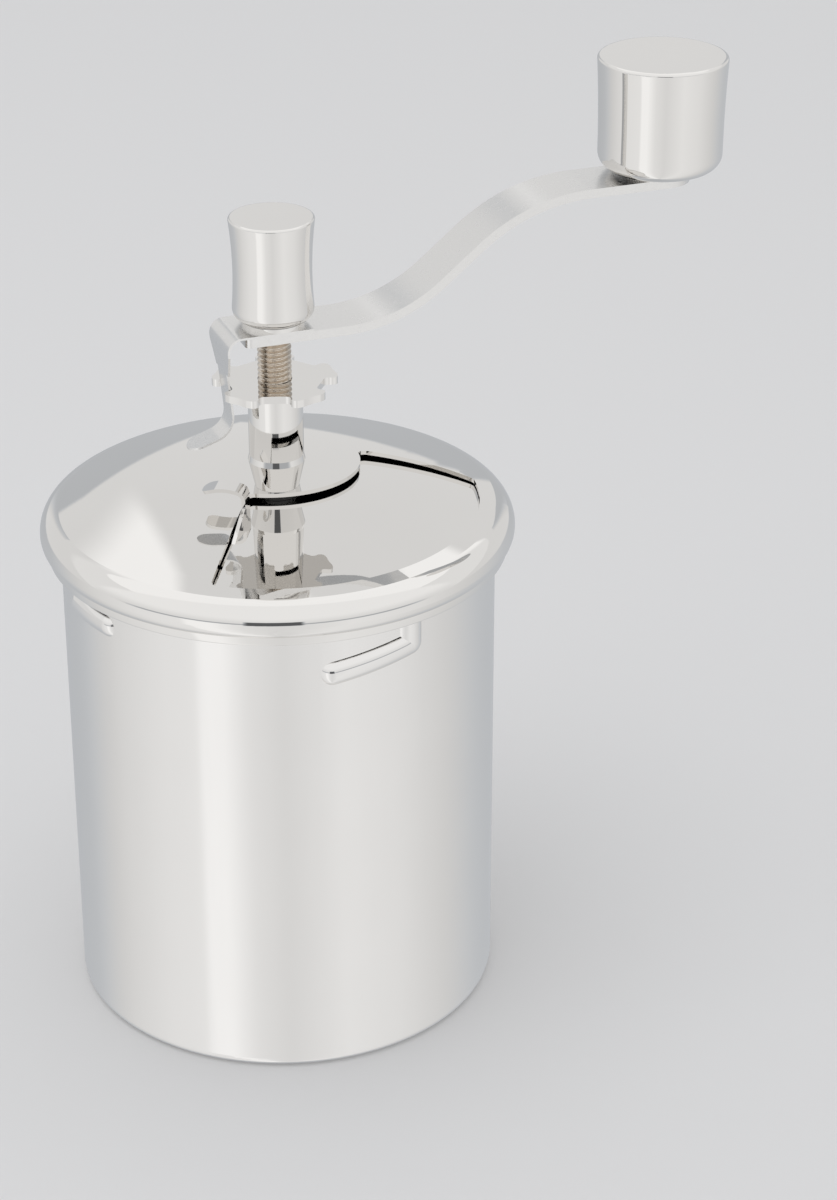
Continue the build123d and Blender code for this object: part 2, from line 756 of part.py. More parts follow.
with BuildPart() as handle_knob:
    handle_side_plane = Plane((handle_x, handle_y, 0), x_dir=arm_side.x_dir, z_dir=arm_side.z_dir)
    cavity_z = handle_low_z + handle_bush_h + slip_gap + axle_head_h + slip_gap
    with BuildSketch(handle_side_plane) as handle_section:
        with BuildLine():
            handle_side = ThreePointArc(
                (handle_base_r, handle_low_z),
                (handle_waist_r, handle_low_z + handle_h * handle_waist_share),
                (handle_top_r, handle_top_z),
            )
            Polyline(
                handle_side @ 1,
                (0, handle_top_z),
                (0, cavity_z),
                (handle_bush_r, cavity_z),
                (handle_bush_r, handle_low_z),
                handle_side @ 0,
            )
        make_face()
        foot_corner = handle_section.vertices().sort_by_distance((handle_base_r, handle_low_z))[0]
        fillet(foot_corner, radius=handle_round_r)
        top_corner = handle_section.vertices().sort_by_distance((handle_top_r, handle_top_z))[0]
        fillet(top_corner, radius=handle_edge_r)
    revolve(axis=Axis((handle_x, handle_y, 0), (0, 0, 1)))
handle_knob.part.label = "handle_knob"
export_step(handle_knob.part, "parts/handle_knob.step")

# Burr carrier, bolted up under the hopper's floor
with BuildPart() as burr_carrier:
    with BuildSketch(Plane.XZ):
        with BuildLine():
            Polyline(
                (burr_r, carrier_top_z),
                (carrier_flange_r, carrier_top_z),
                (carrier_flange_r, carrier_top_z - carrier_flange_t),
                (burr_r + carrier_wall, carrier_top_z - carrier_flange_t),
                (burr_r + carrier_wall, burr_low - carrier_lip_t),
                (burr_r - carrier_lip_w, burr_low - carrier_lip_t),
                (burr_r - carrier_lip_w, burr_low),
                (burr_r, burr_low),
                close=True,
            )
        make_face()
    revolve(axis=Axis.Z)
    with BuildSketch(Plane.XY.offset(carrier_top_z - carrier_flange_t)):
        with PolarLocations(screw_circle_r, screw_count):
            Circle(screw_r)
    extrude(amount=carrier_flange_t, mode=Mode.SUBTRACT)
burr_carrier.part.label = "burr_carrier"
export_step(burr_carrier.part, "parts/burr_carrier.step")


def cut_grooves(count, radius, height, face_h, lean, width):
    """Slanted V grooves round a cone, each centred on the cone's face and longer than it."""
    length = groove_over * face_h / cos(radians(lean))
    with PolarLocations(radius, count):
        with Locations(Location((0, 0, height), (burr_skew_deg, lean, 0))):
            Box(width, width, length, rotation=(0, 0, 45), mode=Mode.SUBTRACT)


# Outer burr: beans are cracked at the flutes and ground at the teeth
fine_lean = degrees(atan((burr_exit_r - burr_neck_r) / burr_fine_h))
entry_h = carrier_top_z - burr_neck_z
entry_lean = degrees(atan((burr_entry_r - burr_neck_r) / entry_h))
with BuildPart() as outer_burr:
    with BuildSketch(Plane.XZ):
        with BuildLine():
            Polyline(
                (burr_exit_r, burr_low),
                (burr_r, burr_low),
                (burr_r, carrier_top_z),
                (burr_entry_r, carrier_top_z),
                (burr_neck_r, burr_neck_z),
                close=True,
            )
        make_face()
    revolve(axis=Axis.Z)
    fine_mid_r = (burr_exit_r + burr_neck_r) / 2
    fine_mid_z = burr_low + burr_fine_h / 2
    cut_grooves(burr_teeth, fine_mid_r, fine_mid_z, burr_fine_h, -fine_lean, burr_tooth)
    entry_mid_r = (burr_entry_r + burr_neck_r) / 2
    cut_grooves(burr_flutes, entry_mid_r, burr_neck_z + entry_h / 2, entry_h, entry_lean, burr_flute)
outer_burr.part.label = "outer_burr"
export_step(outer_burr.part, "parts/outer_burr.step")

# Inner burr, driven by the spindle's flats
nose_h = burr_high - burr_neck_z
nose_lean = degrees(atan((burr_neck_r - burr_gap - burr_nose_r) / nose_h))
with BuildPart() as inner_burr:
    with BuildSketch(Plane.XZ):
        with BuildLine():
            Polyline(
                (0, burr_low),
                (burr_exit_r - burr_gap, burr_low),
                (burr_neck_r - burr_gap, burr_neck_z),
                (burr_nose_r, burr_high),
                (0, burr_high),
                close=True,
            )
        make_face()
    revolve(axis=Axis.Z)
    cut_grooves(burr_teeth, fine_mid_r - burr_gap, fine_mid_z, burr_fine_h, -fine_lean, burr_tooth)
    nose_mid_r = (burr_neck_r - burr_gap + burr_nose_r) / 2
    cut_grooves(burr_flutes, nose_mid_r, burr_neck_z + nose_h / 2, nose_h, -nose_lean, burr_flute)
    flats(level(burr_low), burr_high - burr_low, journal_r + run_gap, flat_half + run_gap)
inner_burr.part.label = "inner_burr"
export_step(inner_burr.part, "parts/inner_burr.step")

# Washer and nut that clamp the inner burr
with BuildPart() as burr_washer:
    ring(Plane.XY.offset(burr_low - burr_washer_t), burr_washer_r, stud_r + hole_gap, burr_washer_t)
burr_washer.part.label = "burr_washer"
export_step(burr_washer.part, "parts/burr_washer.step")

with BuildPart() as burr_nut:
    hex_nut(Plane.XY.offset(burr_nut_z), burr_nut_af, stud_r, burr_nut_h)
burr_nut.part.label = "burr_nut"
export_step(burr_nut.part, "parts/burr_nut.step")

# Spring between the burr and the lower bearing: half turns, each a tilted arc, with flat ends
with BuildPart() as spring_seat:
    ring(Plane.XY.offset(burr_high), burr_nose_r, journal_r + hole_gap, spring_seat_t)
spring_seat.part.label = "spring_seat"
export_step(spring_seat.part, "parts/spring_seat.step")

half_turns = 2 * spring_turns
spring_climb = (spring_h - 2 * spring_wire_r) / (half_turns - 2)
with BuildPart() as burr_spring:
    with BuildLine() as coil:
        coil_z = spring_low_z + spring_wire_r
        side = 1
        for half in range(half_turns):
            next_z = coil_z if half in (0, half_turns - 1) else coil_z + spring_climb
            crown = sqrt(spring_r**2 + ((next_z - coil_z) / 2) ** 2)
            ThreePointArc(
                (side * spring_r, 0, coil_z),
                (0, side * crown, (coil_z + next_z) / 2),
                (-side * spring_r, 0, next_z),
            )
            coil_z = next_z
            side = -side
    with BuildSketch(Plane((spring_r, 0, spring_low_z + spring_wire_r), z_dir=(0, 1, 0))):
        Circle(spring_wire_r)
    sweep(path=coil.wire())
burr_spring.part.label = "burr_spring"
export_step(burr_spring.part, "parts/burr_spring.step")

# Least gap between two turns of the spring, measured on points along its wire
coil_points = [coil.wire() @ (step / spring_points) for step in range(spring_points + 1)]
half_turn = spring_points // half_turns
coil_gaps = [
    (point - other).length - 2 * spring_wire_r
    for place, point in enumerate(coil_points)
    for other in coil_points[place + half_turn :]
]
print("spring's least gap to itself:", round(min(coil_gaps), 2))

with BuildPart() as thrust_washer:
    ring(Plane.XY.offset(spring_top_z), lower_flange_r, journal_r + hole_gap, thrust_washer_t)
thrust_washer.part.label = "thrust_washer"
export_step(thrust_washer.part, "parts/thrust_washer.step")

# Lower bearing bush and the bridge that holds it over the throat
with BuildPart() as lower_bush:
    ring(Plane.XY.offset(lower_bush_z), lower_flange_r, journal_r + run_gap, lower_flange_t)
    ring(Plane.XY.offset(hub_low_z), lower_bush_r, journal_r + run_gap, bridge_hub_h)
lower_bush.part.label = "lower_bush"
export_step(lower_bush.part, "parts/lower_bush.step")

with BuildPart() as lower_bridge:
    spoke_end_r = screw_circle_r - screw_head_r - slip_gap
    hub_top_z = hub_low_z + bridge_hub_h
    with BuildSketch(Plane.XY.offset(hub_low_z)):
        Circle(bridge_hub_r)
    extrude(amount=bridge_hub_h)
    for turn in range(screw_count):
        with BuildSketch(Plane(Rot(0, 0, 360 / screw_count * turn) * Plane.XZ.location)):
            with BuildLine():
                Polyline(
                    (0, hub_top_z - bridge_arm_t),
                    (0, hub_top_z),
                    (bridge_hub_r, hub_top_z),
                    (spoke_end_r, hopper_floor_z + bridge_foot_t),
                    (spoke_end_r, hopper_floor_z),
                    (spoke_end_r - bridge_arm_t, hopper_floor_z),
                    (bridge_hub_r, hub_top_z - bridge_arm_t),
                    close=True,
                )
            make_face()
        extrude(amount=bridge_arm_w / 2, both=True)
    with BuildSketch(Plane.XY.offset(hopper_floor_z)):
        with PolarLocations(screw_circle_r, screw_count):
            Circle(bridge_boss_r)
    extrude(amount=bridge_foot_t)
    with BuildSketch(Plane.XY.offset(hopper_floor_z)):
        with PolarLocations(screw_circle_r, screw_count):
            Circle(screw_r + hole_gap)
    extrude(amount=bridge_foot_t, mode=Mode.SUBTRACT)
    with BuildSketch(Plane.XY.offset(hopper_floor_z)):
        Circle(lower_bush_r)
    extrude(amount=hub_top_z - hopper_floor_z, mode=Mode.SUBTRACT)
lower_bridge.part.label = "lower_bridge"
export_step(lower_bridge.part, "parts/lower_bridge.step")

# Screws through the bridge's feet and the hopper's floor into the carrier
with BuildPart() as carrier_screws:
    foot_top_z = hopper_floor_z + bridge_foot_t
    with BuildSketch(Plane.XY.offset(carrier_top_z - carrier_flange_t)):
        with PolarLocations(screw_circle_r, screw_count):
            Circle(screw_r)
    extrude(amount=foot_top_z - carrier_top_z + carrier_flange_t)
    with BuildSketch(Plane.XY.offset(foot_top_z)):
        with PolarLocations(screw_circle_r, screw_count):
            Circle(screw_head_r)
    extrude(amount=screw_head_h)
carrier_screws.part.label = "carrier_screws"
export_step(carrier_screws.part, "parts/carrier_screws.step")
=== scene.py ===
import json
import math

import bpy
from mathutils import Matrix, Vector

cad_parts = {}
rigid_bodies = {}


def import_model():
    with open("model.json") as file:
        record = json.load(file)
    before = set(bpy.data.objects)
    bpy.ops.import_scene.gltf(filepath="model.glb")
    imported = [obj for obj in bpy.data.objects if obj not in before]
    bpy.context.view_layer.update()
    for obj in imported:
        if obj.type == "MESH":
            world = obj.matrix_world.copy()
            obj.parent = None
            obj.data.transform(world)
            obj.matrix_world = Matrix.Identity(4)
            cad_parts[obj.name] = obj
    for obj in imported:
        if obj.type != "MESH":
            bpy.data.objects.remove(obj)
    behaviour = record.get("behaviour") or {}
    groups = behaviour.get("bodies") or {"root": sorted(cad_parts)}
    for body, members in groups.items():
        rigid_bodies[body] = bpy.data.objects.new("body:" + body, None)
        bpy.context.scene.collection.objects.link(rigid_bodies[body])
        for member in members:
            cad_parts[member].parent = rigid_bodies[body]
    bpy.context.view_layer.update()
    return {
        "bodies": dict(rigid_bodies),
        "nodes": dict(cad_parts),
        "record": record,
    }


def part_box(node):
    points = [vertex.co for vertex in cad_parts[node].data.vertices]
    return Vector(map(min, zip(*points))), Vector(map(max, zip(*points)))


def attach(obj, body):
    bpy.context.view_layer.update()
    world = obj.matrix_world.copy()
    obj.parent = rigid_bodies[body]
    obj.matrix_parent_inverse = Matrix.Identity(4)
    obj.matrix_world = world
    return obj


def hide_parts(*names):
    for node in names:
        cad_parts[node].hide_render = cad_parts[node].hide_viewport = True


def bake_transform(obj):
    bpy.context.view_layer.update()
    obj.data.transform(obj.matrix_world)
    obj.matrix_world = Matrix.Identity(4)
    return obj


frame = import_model()

# Threaded spindle: lengths in metres, the crest as a share of the pitch
THREAD_PITCH = 0.00125
THREAD_DEPTH = 0.00070
THREAD_CREST = 0.18
THREAD_STEPS = 16
JOURNAL_R = 0.0035
JOURNAL_RISE = 0.0034
STUD_R = 0.0030
FLAT_HALF = 0.0028
CRANK_ANGLE = math.radians(20.5)
SPINDLE_SIDES = 72
SPINDLE_CREASE = math.radians(40)

# Skirt of the lid: lengths in metres
SKIRT_R = 0.05515
SKIRT_SHEET = 0.00085
SKIRT_LAP = 0.00055
SKIRT_DROP = 0.0023
SKIRT_SIDES = 160
SKIRT_FOOT_STEPS = 6
SKIRT_CREASE = math.radians(50)

# Raised beads on the canister: lengths in metres
CANISTER_R = 0.0520
BEAD_BASE = 0.0003
BEAD_SLOPE = 0.0005
BEAD_ROUGHNESS = 0.03
WITHOUT_HEIGHT = (1.0, 1.0, 0.0)

# Grain of the metals and mottle of the rubber
EVEN_GRAIN = (1, 1, 1)
GRAIN_DETAIL = 4.0
GRAIN_RANGE = (0.3, 0.7)
GRAIN_RELIEF = 0.0001
BROAD_SCALE = 45.0
BROAD_DETAIL = 2.0
MOTTLE_SCALE = 300.0
MOTTLE_RANGE = (0.0, 1.0)
RUBBER_ROUGHNESS = (0.45, 0.65)

# Camera at the photograph's angle
CAMERA_PLACE = (0.0336, -0.6578, 0.4357)
CAMERA_TILT = math.radians(63.01)
CAMERA_LENS = 91.3
CAMERA_SENSOR = 36.0
CAMERA_REACH = 20.0

# Floor and lamp
FLOOR_R = 4.0
FLOOR_SIDES = 96
FLOOR_COLOUR = (0.700, 0.702, 0.712)
FLOOR_ROUGHNESS = 0.7
LAMP_PLACE = (-0.35, -0.35, 1.30)
LAMP_SIZE = 1.0
LAMP_POWER = 3.0

# Light of the tent on all but the metal, from the horizon, 0, to straight above, 1
EVEN_LIGHT = [(0.0, 0.55), (0.15, 0.58), (0.40, 0.78), (0.60, 0.82), (0.75, 0.85), (0.85, 1.0), (1.0, 1.0)]

# Tones of the tent in the metal
WALL_TONE = 0.57
BACKDROP_TONE = 0.81
PANEL_TONE = 1.09
SIDE_TONE = 0.90
CEILING_TONE = 1.08
FRONT_LOW_TONE = 0.85
FRONT_TONE = 1.0
HORIZON_TONE = 0.50
CAMERA_TONE = 0.12
LIGHT_TINT = (1.0, 1.0, 1.0)
SHADE_TINT = (0.966, 0.998, 1.042)
SHADE_EDGE = (0.62, 0.78)

# Tones of the paper below the horizon, along a turn from the left by the front, the right and the back
AROUND_BELOW = [
    (0.0, 0.83), (0.07, 0.92), (0.128, 0.95), (0.138, 1.1), (0.17, 1.1), (0.21, 0.91), (0.26, 0.83),
    (0.35, 0.95), (0.44, 0.89), (0.53, 0.76), (0.625, 0.63), (0.70, 0.56), (0.80, 0.53), (0.89, 0.61),
    (0.94, 0.71), (1.0, 0.83),
]

# Places in the tent by direction. An edge is where a soft step starts and ends.
# Side, depth and height are a direction's x, y and z. Across and up are x and z over y, as on a flat
# backdrop, where a line has a slope and an offset.
PAPER_EDGE = (-0.03, 0.03)
BACK_EDGE = (-0.05, 0.05)
LEAST_DEPTH = 0.05
ASIDE_EDGE = (0.35, 0.60)
ACROSS_LIMIT = 0.4
LEFT_LINE = (1.65, 0.017)
RIGHT_LINE = (-1.0, -0.19)
FOLD_LINE = (2.35, 0.0)
WALL_EDGE = (-0.008, 0.008)
LEFT_PANEL_EDGE = (-0.195, -0.225)
LEFT_PANEL_FOLD = (-0.12, 0.10)
RIGHT_PANEL_EDGE = (0.125, 0.150)
RIGHT_PANEL_FOOT = (0.69, 0.74)
CEILING_EDGE = (0.69, 0.73)
FRONT_RISE = (0.0, 0.5)
NEAR_EDGE = (-0.2, -0.5)
HORIZON_RISE = (-0.06, -0.03)
HORIZON_FALL = (0.03, 0.06)
CAMERA_RISE = (-0.12, -0.08)
CAMERA_FALL = (0.16, 0.20)
CAMERA_SIDES = (0.20, 0.25)

# Sockets of a mix node by their number
MIX_SHARE = 0
MIX_LEVELS = (2, 3)
MIX_COLOURS = (6, 7)
MIX_LEVEL_OUT = 0
MIX_COLOUR_OUT = 2


def add_node(tree, kind, **settings):
    """Adds a node and sets its properties."""
    node = tree.nodes.new(kind)
    for name, value in settings.items():
        setattr(node, name, value)
    return node


def feed(tree, socket, value):
    """Gives a socket a plain number or a link."""
    if isinstance(value, (int, float)):
        socket.default_value = value
    else:
        tree.links.new(value, socket)


def math_node(tree, operation, first, second=0.0):
    """One sum on links or plain numbers."""
    node = add_node(tree, "ShaderNodeMath", operation=operation)
    feed(tree, node.inputs[0], first)
    feed(tree, node.inputs[1], second)
    return node.outputs["Value"]


def rescale(tree, source, span, low, high, interpolation="LINEAR"):
    """Takes a span of values to a low and a high level, and holds them outside it."""
    node = add_node(tree, "ShaderNodeMapRange", interpolation_type=interpolation)
    start, end = span
    node.inputs["From Min"].default_value = start
    node.inputs["From Max"].default_value = end
    node.inputs["To Min"].default_value = low
    node.inputs["To Max"].default_value = high
    tree.links.new(source, node.inputs["Value"])
    return node.outputs["Result"]


def step(tree, source, edge, low=0.0, high=1.0):
    """A smooth step from one level to another across an edge."""
    return rescale(tree, source, edge, low, high, "SMOOTHSTEP")


def band(tree, source, rise, fall):
    """1 between a rising and a falling edge, and 0 outside them."""
    return math_node(tree, "MULTIPLY", step(tree, source, rise), step(tree, source, fall, 1.0, 0.0))


def blend(tree, share, first, second):
    """Goes from a first level to a second one by a share."""
    node = add_node(tree, "ShaderNodeMix", data_type="FLOAT")
    feed(tree, node.inputs[MIX_SHARE], share)
    for place, level in zip(MIX_LEVELS, (first, second)):
        feed(tree, node.inputs[place], level)
    return node.outputs[MIX_LEVEL_OUT]


def blend_colours(tree, share, first, second):
    """Goes from a first colour to a second one by a share."""
    node = add_node(tree, "ShaderNodeMix", data_type="RGBA")
    feed(tree, node.inputs[MIX_SHARE], share)
    for place, colour in zip(MIX_COLOURS, (first, second)):
        node.inputs[place].default_value = (*colour, 1)
    return node.outputs[MIX_COLOUR_OUT]


def ramp(tree, source, stops):
    """Grey levels along a 0 to 1 value."""
    node = add_node(tree, "ShaderNodeValToRGB")
    elements = node.color_ramp.elements
    while len(elements) > 1:
        elements.remove(elements[-1])
    (first_place, first_level), *others = stops
    elements[0].position = first_place
    elements[0].color = (first_level, first_level, first_level, 1)
    for place, level in others:
        elements.new(place).color = (level, level, level, 1)
    tree.links.new(source, node.inputs["Fac"])
    return node.outputs["Color"]


def noise(tree, place, scale, detail=BROAD_DETAIL):
    """Soft noise over the object's own coordinates."""
    node = add_node(tree, "ShaderNodeTexNoise")
    node.inputs["Scale"].default_value = scale
    node.inputs["Detail"].default_value = detail
    tree.links.new(place, node.inputs["Vector"])
    return node.outputs["Fac"]


def new_material(name):
    """A material with one principled shader, with its node tree and that shader."""
    material = bpy.data.materials.new(name)
    material.use_nodes = True
    tree = material.node_tree
    tree.nodes.clear()
    output = add_node(tree, "ShaderNodeOutputMaterial")
    shader = add_node(tree, "ShaderNodeBsdfPrincipled")
    tree.links.new(shader.outputs["BSDF"], output.inputs["Surface"])
    return material, tree, shader


def metal(name, colour, worn_colour, roughness, grain, stretch, bump):
    """Steel or bronze: its gloss and relief follow a fine grain, its tone a broad one."""
    material, tree, shader = new_material(name)
    shader.inputs["Metallic"].default_value = 1.0
    place = add_node(tree, "ShaderNodeTexCoord").outputs["Object"]
    mapping = add_node(tree, "ShaderNodeMapping")
    mapping.inputs["Scale"].default_value = stretch
    tree.links.new(place, mapping.inputs["Vector"])
    fine = noise(tree, mapping.outputs["Vector"], grain, GRAIN_DETAIL)
    broad = noise(tree, place, BROAD_SCALE)
    tree.links.new(rescale(tree, fine, GRAIN_RANGE, *roughness), shader.inputs["Roughness"])
    tree.links.new(blend_colours(tree, broad, colour, worn_colour), shader.inputs["Base Color"])
    relief = add_node(tree, "ShaderNodeBump")
    relief.inputs["Strength"].default_value = bump
    relief.inputs["Distance"].default_value = GRAIN_RELIEF
    tree.links.new(fine, relief.inputs["Height"])
    tree.links.new(relief.outputs["Normal"], shader.inputs["Normal"])
    return material


def polish_beads(material):
    """Makes the canister's raised beads glossier than its satin wall."""
    tree = material.node_tree
    shader = next(node for node in tree.nodes if node.type == "BSDF_PRINCIPLED")
    satin = shader.inputs["Roughness"].links[0].from_socket
    place = add_node(tree, "ShaderNodeTexCoord")
    level = add_node(tree, "ShaderNodeVectorMath", operation="MULTIPLY")
    level.inputs[1].default_value = WITHOUT_HEIGHT
    tree.links.new(place.outputs["Object"], level.inputs[0])
    reach = add_node(tree, "ShaderNodeVectorMath", operation="LENGTH")
    tree.links.new(level.outputs["Vector"], reach.inputs[0])
    start = CANISTER_R + BEAD_BASE
    raised = step(tree, reach.outputs["Value"], (start, start + BEAD_SLOPE))
    tree.links.new(blend(tree, raised, satin, BEAD_ROUGHNESS), shader.inputs["Roughness"])


def rubber(name, colour, pale_colour):
    """Silicone with a faint mottle."""
    material, tree, shader = new_material(name)
    place = add_node(tree, "ShaderNodeTexCoord").outputs["Object"]
    mottle = noise(tree, place, MOTTLE_SCALE)
    tree.links.new(blend_colours(tree, mottle, colour, pale_colour), shader.inputs["Base Color"])
    tree.links.new(rescale(tree, mottle, MOTTLE_RANGE, *RUBBER_ROUGHNESS), shader.inputs["Roughness"])
    return material


METALS = {
    "polished_steel": dict(
        colour=(0.796, 0.782, 0.762),
        worn_colour=(0.776, 0.762, 0.742),
        roughness=(0.01, 0.03),
        grain=900.0,
        stretch=EVEN_GRAIN,
        bump=0.005,
    ),
    "strip_steel": dict(
        colour=(0.788, 0.780, 0.768),
        worn_colour=(0.768, 0.760, 0.748),
        roughness=(0.20, 0.28),
        grain=900.0,
        stretch=EVEN_GRAIN,
        bump=0.005,
    ),
    "satin_steel": dict(
        colour=(0.812, 0.800, 0.785),
        worn_colour=(0.792, 0.780, 0.765),
        roughness=(0.10, 0.16),
        grain=700.0,
        stretch=(1, 1, 0.05),
        bump=0.01,
    ),
    "inner_steel": dict(
        colour=(0.66, 0.66, 0.66),
        worn_colour=(0.60, 0.60, 0.60),
        roughness=(0.22, 0.34),
        grain=900.0,
        stretch=(1, 1, 6),
        bump=0.05,
    ),
    # Near black painted shade: the pivot spacer sits in the dark gap under the lid and is coloured black so
    # that it reads as that shade, not as a lit face
    "painted_shade_steel": dict(
        colour=(0.05, 0.05, 0.05),
        worn_colour=(0.03, 0.03, 0.03),
        roughness=(0.30, 0.45),
        grain=900.0,
        stretch=(1, 1, 6),
        bump=0.05,
    ),
    "thread_steel": dict(
        colour=(0.72, 0.655, 0.575),
        worn_colour=(0.655, 0.58, 0.50),
        roughness=(0.16, 0.28),
        grain=1500.0,
        stretch=(1, 1, 4),
        bump=0.05,
    ),
    "burr_steel": dict(
        colour=(0.32, 0.32, 0.33),
        worn_colour=(0.25, 0.25, 0.26),
        roughness=(0.35, 0.55),
        grain=1200.0,
        stretch=EVEN_GRAIN,
        bump=0.2,
    ),
    "bronze": dict(
        colour=(0.66, 0.50, 0.28),
        worn_colour=(0.56, 0.41, 0.22),
        roughness=(0.25, 0.40),
        grain=1500.0,
        stretch=EVEN_GRAIN,
        bump=0.1,
    ),
}
FINISHES = {name: metal(name, **look) for name, look in METALS.items()}
FINISHES["seal_rubber"] = rubber("seal_rubber", colour=(0.68, 0.68, 0.66), pale_colour=(0.75, 0.75, 0.73))

# Nodes whose finish differs from the rest of their slot
OWN_FINISHES = {
    "crank_arm": "strip_steel",
    "lock_finger": "strip_steel",
    # Painted shade: the spacer is coloured near black to stand in for the dark gap it sits in
    "pivot_spacer": "painted_shade_steel",
}


def finish_nodes():
    """Gives every node its own finish or that of its slot."""
    polish_beads(FINISHES["satin_steel"])
    for subpart in frame["record"]["subparts"]:
        node = subpart["node"]
        finish = OWN_FINISHES.get(node, subpart["material_slot"])
        materials = frame["nodes"][node].data.materials
        materials.clear()
        materials.append(FINISHES[finish])


def put_in_scene(name, data):
    """An object made of some data, linked to the scene."""
    piece = bpy.data.objects.new(name, data)
    bpy.context.scene.collection.objects.link(piece)
    return piece


def mesh_piece(name, points, faces, material):
    """An object made of points and faces."""
    mesh = bpy.data.meshes.new(name)
    mesh.from_pydata(points, [], faces)
    mesh.materials.append(material)
    return put_in_scene(name, mesh)


def smooth(piece, crease):
    """Shades a piece smooth, apart from edges sharper than a crease."""
    piece.data.shade_smooth()
    piece.data.set_sharp_from_angle(angle=crease)


def angles_around(sides):
    """Even angles around a full turn."""
    return [2 * math.pi * side / sides for side in range(sides)]


def on_circle(radius, angle, height):
    """A point at a radius, an angle and a height."""
    return (radius * math.cos(angle), radius * math.sin(angle), height)


def thread_radius(height, angle, outer_r):
    """Radius of the thread: flat crests, sloping flanks and a rounded root."""
    along = (height / THREAD_PITCH - angle / (2 * math.pi)) % 1.0
    from_crest = abs(along - 0.5) * 2
    slope = min(1.0, max(0.0, (from_crest - THREAD_CREST) / (1.0 - THREAD_CREST)))
    return outer_r - THREAD_DEPTH * math.sin(slope * math.pi / 2)


def spindle_sections():
    """Stretches of the spindle from below: their ends, their number of levels and their radius."""
    low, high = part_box("spindle")
    burr_low, burr_high = (corner.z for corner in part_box("inner_burr"))
    journal_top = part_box("lid_bush")[1].z + JOURNAL_RISE
    thread_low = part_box("star_wheel")[1].z - THREAD_PITCH
    thread_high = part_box("crank_arm")[0].z
    thread_levels = round((thread_high - thread_low) / THREAD_PITCH * THREAD_STEPS)
    seat_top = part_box("knob_washer")[0].z
    thread_r = (high.x - low.x) / 2

    def plain(radius):
        return lambda height, angle: radius

    def flatted(height, angle):
        across = abs(math.sin(angle - CRANK_ANGLE))
        return min(JOURNAL_R, FLAT_HALF / across) if across > 0 else JOURNAL_R

    def threaded(height, angle):
        return thread_radius(height, angle, thread_r)

    return [
        (low.z, burr_low, 1, plain(STUD_R)),
        (burr_low, burr_high, 1, flatted),
        (burr_high, journal_top, 1, plain(JOURNAL_R)),
        (journal_top, thread_low, 1, plain(thread_r - THREAD_DEPTH)),
        (thread_low, thread_high, thread_levels, threaded),
        (thread_high, seat_top, 1, flatted),
        (seat_top, high.z, 1, plain(STUD_R)),
    ]


def threaded_spindle():
    """The spindle with its adjusting thread cut, in place of the plain one."""
    points = []
    for start, end, levels, radius in spindle_sections():
        for level in range(levels + 1):
            height = start + (end - start) * level / levels
            points += [
                on_circle(radius(height, angle), angle, height) for angle in angles_around(SPINDLE_SIDES)
            ]
    last_ring = len(points) - SPINDLE_SIDES
    faces = [tuple(reversed(range(SPINDLE_SIDES)))]
    for ring in range(0, last_ring, SPINDLE_SIDES):
        upper = ring + SPINDLE_SIDES
        for side in range(SPINDLE_SIDES):
            after = (side + 1) % SPINDLE_SIDES
            faces.append((ring + side, ring + after, upper + after, upper + side))
    faces.append(tuple(range(last_ring, len(points))))
    spindle = mesh_piece("threaded_spindle", points, faces, FINISHES["thread_steel"])
    smooth(spindle, SPINDLE_CREASE)
    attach(spindle, "crank")
    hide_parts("spindle")


def lid_skirt():
    """The short skirt below the lid's rolled edge: a turned band with a rounded foot."""
    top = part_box("lid")[0].z + SKIRT_LAP
    low = top - SKIRT_LAP - SKIRT_DROP
    foot_r = SKIRT_SHEET / 2
    outline = [(SKIRT_R - SKIRT_SHEET, top), (SKIRT_R, top)]
    for corner in range(SKIRT_FOOT_STEPS + 1):
        bend = math.pi * corner / SKIRT_FOOT_STEPS
        outline.append((SKIRT_R - foot_r + foot_r * math.cos(bend), low + foot_r - foot_r * math.sin(bend)))
    points = []
    for angle in angles_around(SKIRT_SIDES):
        points += [on_circle(reach, angle, height) for reach, height in outline]
    size = len(outline)
    faces = []
    for side in range(SKIRT_SIDES):
        here = side * size
        there = (side + 1) % SKIRT_SIDES * size
        for corner in range(size):
            after = (corner + 1) % size
            faces.append((here + corner, here + after, there + after, there + corner))
    skirt = mesh_piece("lid_skirt", points, faces, FINISHES["polished_steel"])
    smooth(skirt, SKIRT_CREASE)
    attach(skirt, "top")


def grinding_spring():
    """A still copy of the spring on the spindle, fixed where the model has it, in place of the model's one.
    """
    spring = put_in_scene("grinding_spring", frame["nodes"]["burr_spring"].data.copy())
    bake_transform(spring)
    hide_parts("burr_spring")


def studio_floor():
    """A pale floor that the metal does not mirror: the tent stands in for it there."""
    material, _, paper = new_material("studio_floor")
    paper.inputs["Base Color"].default_value = (*FLOOR_COLOUR, 1)
    paper.inputs["Roughness"].default_value = FLOOR_ROUGHNESS
    points = [on_circle(FLOOR_R, angle, 0.0) for angle in angles_around(FLOOR_SIDES)]
    floor = mesh_piece("studio_floor", points, [tuple(range(FLOOR_SIDES))], material)
    floor.visible_glossy = False


def above_line(tree, across, up, line):
    """How far a direction is above a line on the backdrop."""
    slope, offset = line
    rise = math_node(tree, "ADD", math_node(tree, "MULTIPLY", across, slope), up)
    return math_node(tree, "ADD", rise, offset)


